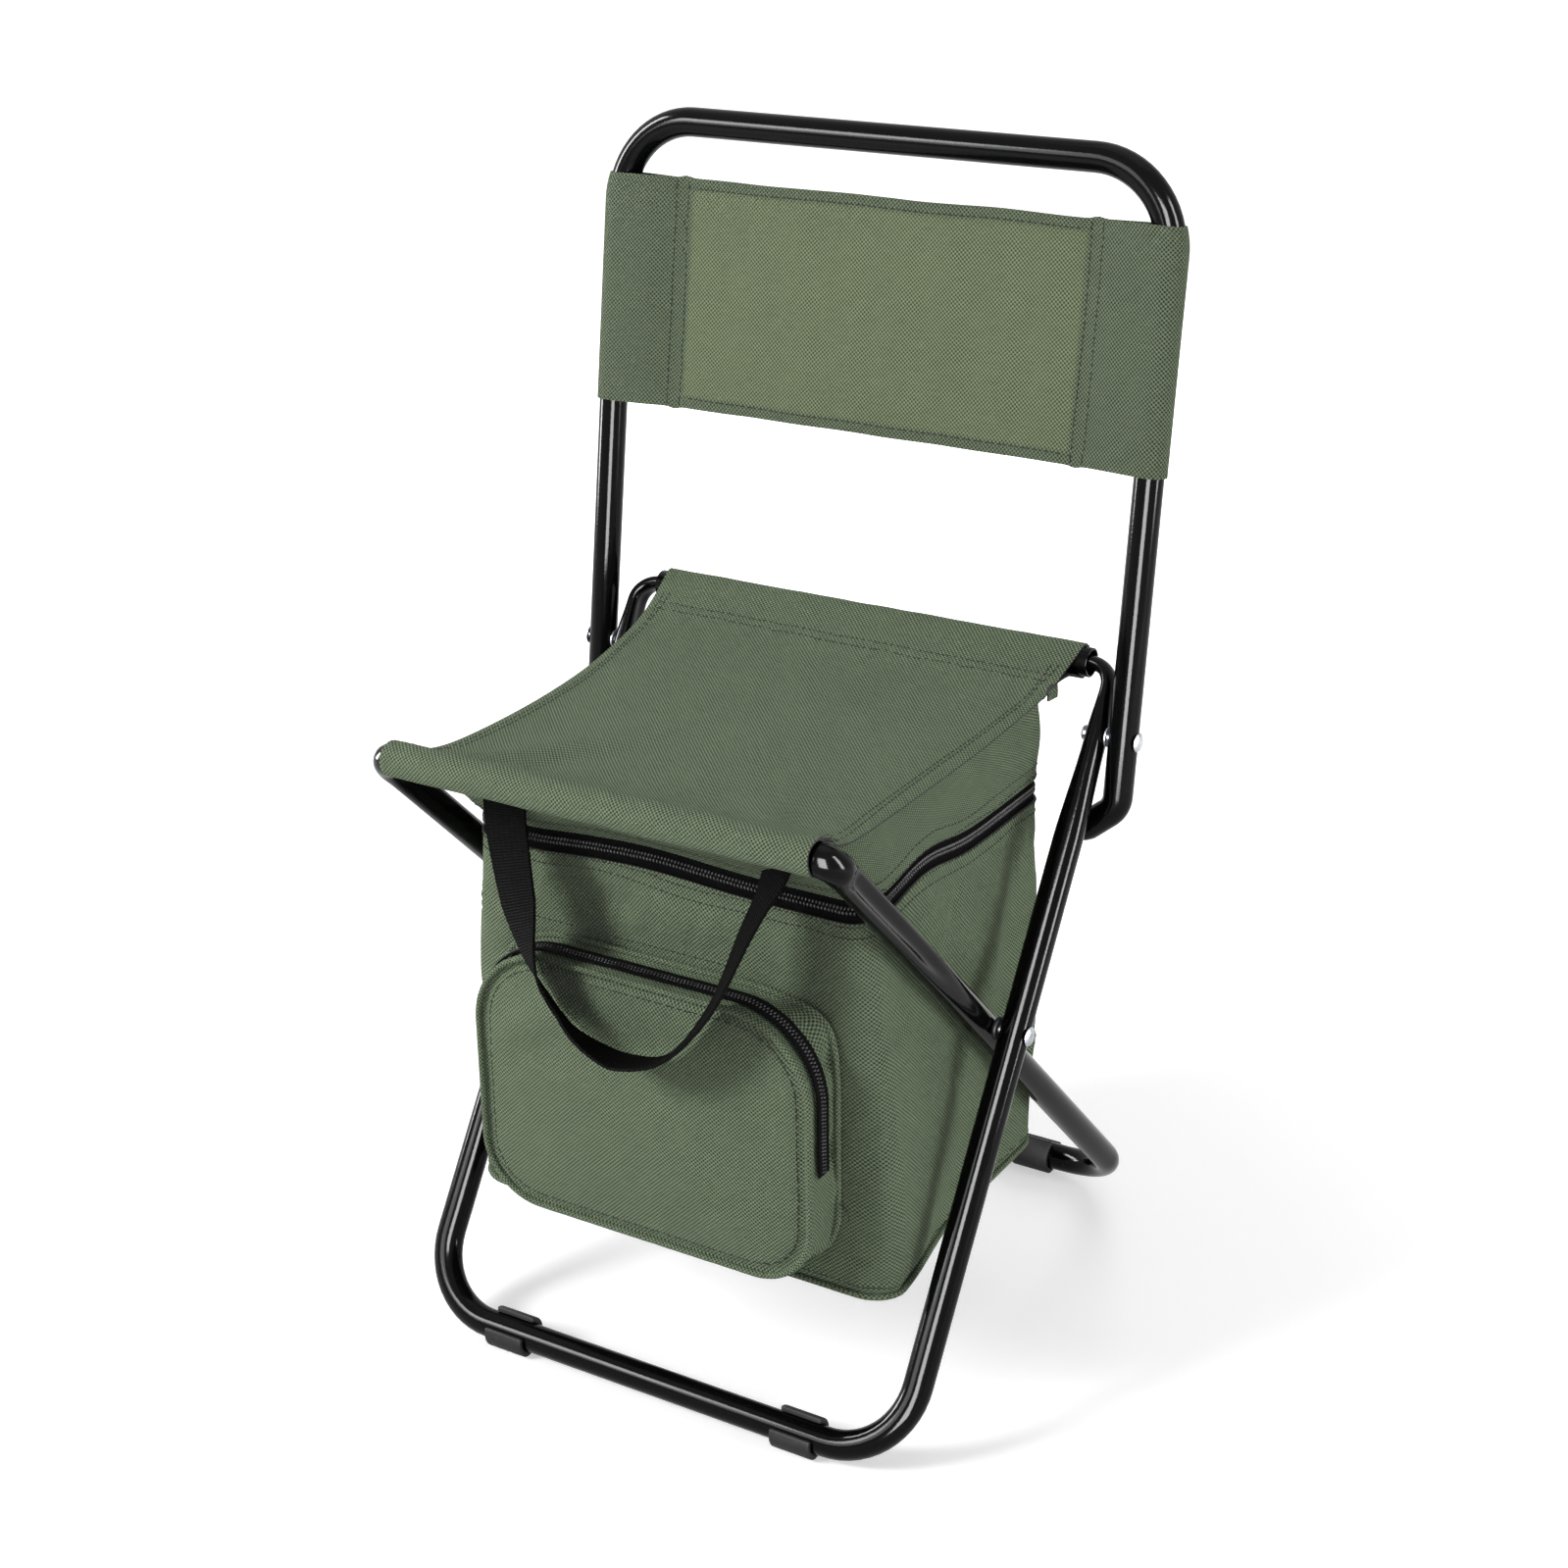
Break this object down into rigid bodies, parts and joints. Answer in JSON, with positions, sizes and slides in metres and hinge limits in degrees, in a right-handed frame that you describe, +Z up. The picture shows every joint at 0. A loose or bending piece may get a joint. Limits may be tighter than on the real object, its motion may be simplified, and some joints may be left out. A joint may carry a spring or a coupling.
{
  "type": "folding cooler stool",
  "caption": "Folding stool of black steel tube with a canvas seat, a hinged backrest and an insulated zip-up cooler bag with a front pocket and carry strap under the seat.",
  "frame": {"origin": "on the floor, below the middle of the stool's width and length", "axes": "+Z up, +X to the sitter's left hand as seen from the front, -Y towards the front where the pocket is"},
  "size_m": [0.3516, 0.3678, 0.6382],
  "materials": {
    "black_paint": "glossy black powder coat",
    "zinc": "zinc-plated, worn bright",
    "black_nylon": "plain moulded nylon",
    "black_rubber": "matte moulded rubber",
    "green_canvas": "coated polyester canvas, fine plain weave",
    "black_webbing": "woven polyester tape",
    "white_foam": "closed-cell foam sheet",
    "silver_foil": "aluminised plastic film",
    "grey_board": "pressed plastic board"
  },
  "bodies": {
    "front_frame": {"front_leg_tube": "black_paint", "rear_seat_rail": "black_paint", "crossing_rivet_left": "zinc", "crossing_rivet_right": "zinc", "crossing_spacer_left": "black_nylon", "crossing_spacer_right": "black_nylon", "backrest_rivet_left": "zinc", "backrest_rivet_right": "zinc", "backrest_washer_left": "zinc", "backrest_washer_right": "zinc", "foot_front_left": "black_rubber", "foot_front_right": "black_rubber", "seat_panel": "green_canvas"},
    "rear_frame": {"rear_leg_tube": "black_paint", "front_seat_rail": "black_paint", "foot_rear_left": "black_rubber", "foot_rear_right": "black_rubber"},
    "backrest": {"backrest_tube": "black_paint", "backrest_panel": "green_canvas"},
    "bag_top": {"bag_skirt": "green_canvas", "lid_foam": "silver_foil", "main_zip_upper_tape": "black_webbing", "bag_rear_hinge": "green_canvas"},
    "cooler_tub": {"bag_shell": "green_canvas", "bag_base_board": "grey_board", "bag_foam": "white_foam", "bag_lining": "silver_foil", "bag_base_piping": "green_canvas", "main_zip_lower_tape": "black_webbing", "pocket_gusset": "green_canvas", "pocket_panel": "green_canvas", "pocket_front_piping": "green_canvas", "pocket_base_piping": "green_canvas", "pocket_zip_tape": "black_webbing"},
    "carry_handle": {"carry_strap": "black_webbing"},
    "main_slider": {"main_zip_slider": "zinc"},
    "main_pull": {"main_zip_pull": "zinc"},
    "pocket_slider": {"pocket_zip_slider": "zinc"},
    "pocket_pull": {"pocket_zip_pull": "zinc"}
  },
  "joints": [
    {"name": "fold", "type": "hinge", "parent": "front_frame", "child": "rear_frame", "pos_m": [0, -0.0183, 0.20195], "axis": [-1, 0, 0], "range_deg": [0, 72], "deforming": ["seat_panel", "bag_skirt", "lid_foam", "bag_rear_hinge", "main_zip_upper_tape", "main_zip_lower_tape", "bag_shell", "bag_base_board", "bag_foam", "bag_lining", "bag_base_piping", "pocket_gusset", "pocket_panel", "pocket_front_piping", "pocket_base_piping", "pocket_zip_tape", "carry_strap"]},
    {"name": "bag_swing", "type": "hinge", "parent": "front_frame", "child": "bag_top", "pos_m": [0, 0.0926, 0.369], "axis": [-1, 0, 0], "range_deg": [0, 33.6]},
    {"name": "backrest_tilt", "type": "hinge", "parent": "front_frame", "child": "backrest", "pos_m": [0, 0.07191, 0.33784], "axis": [1, 0, 0], "range_deg": [0, 85]},
    {"name": "tub_open", "type": "hinge", "parent": "bag_top", "child": "cooler_tub", "pos_m": [0, 0.0736, 0.304], "axis": [1, 0, 0], "range_deg": [0, 20]},
    {"name": "handle_swing", "type": "hinge", "parent": "bag_top", "child": "carry_handle", "pos_m": [0, -0.1374, 0.332], "axis": [-1, 0, 0], "range_deg": [0, 75]},
    {"name": "main_zip_slide", "type": "slide", "parent": "bag_top", "child": "main_slider", "axis": [-1, 0, 0], "range_m": [0, 0.023]},
    {"name": "main_zip_pull_turn", "type": "hinge", "parent": "main_slider", "child": "main_pull", "pos_m": [-0.0757, 0.0764, 0.304], "axis": [0, 0, 1], "range_deg": [0, 175]},
    {"name": "pocket_zip_slide", "type": "slide", "parent": "cooler_tub", "child": "pocket_slider", "axis": [0, 0, 1], "range_m": [0, 0.028]},
    {"name": "pocket_zip_pull_turn", "type": "hinge", "parent": "pocket_slider", "child": "pocket_pull", "pos_m": [-0.1057, -0.1367, 0.1707], "axis": [0, 1, 0], "range_deg": [0, 175]}
  ],
  "couplings": [
    {"joint": "bag_swing", "follows": "fold", "ratio": 0.465}
  ]
}
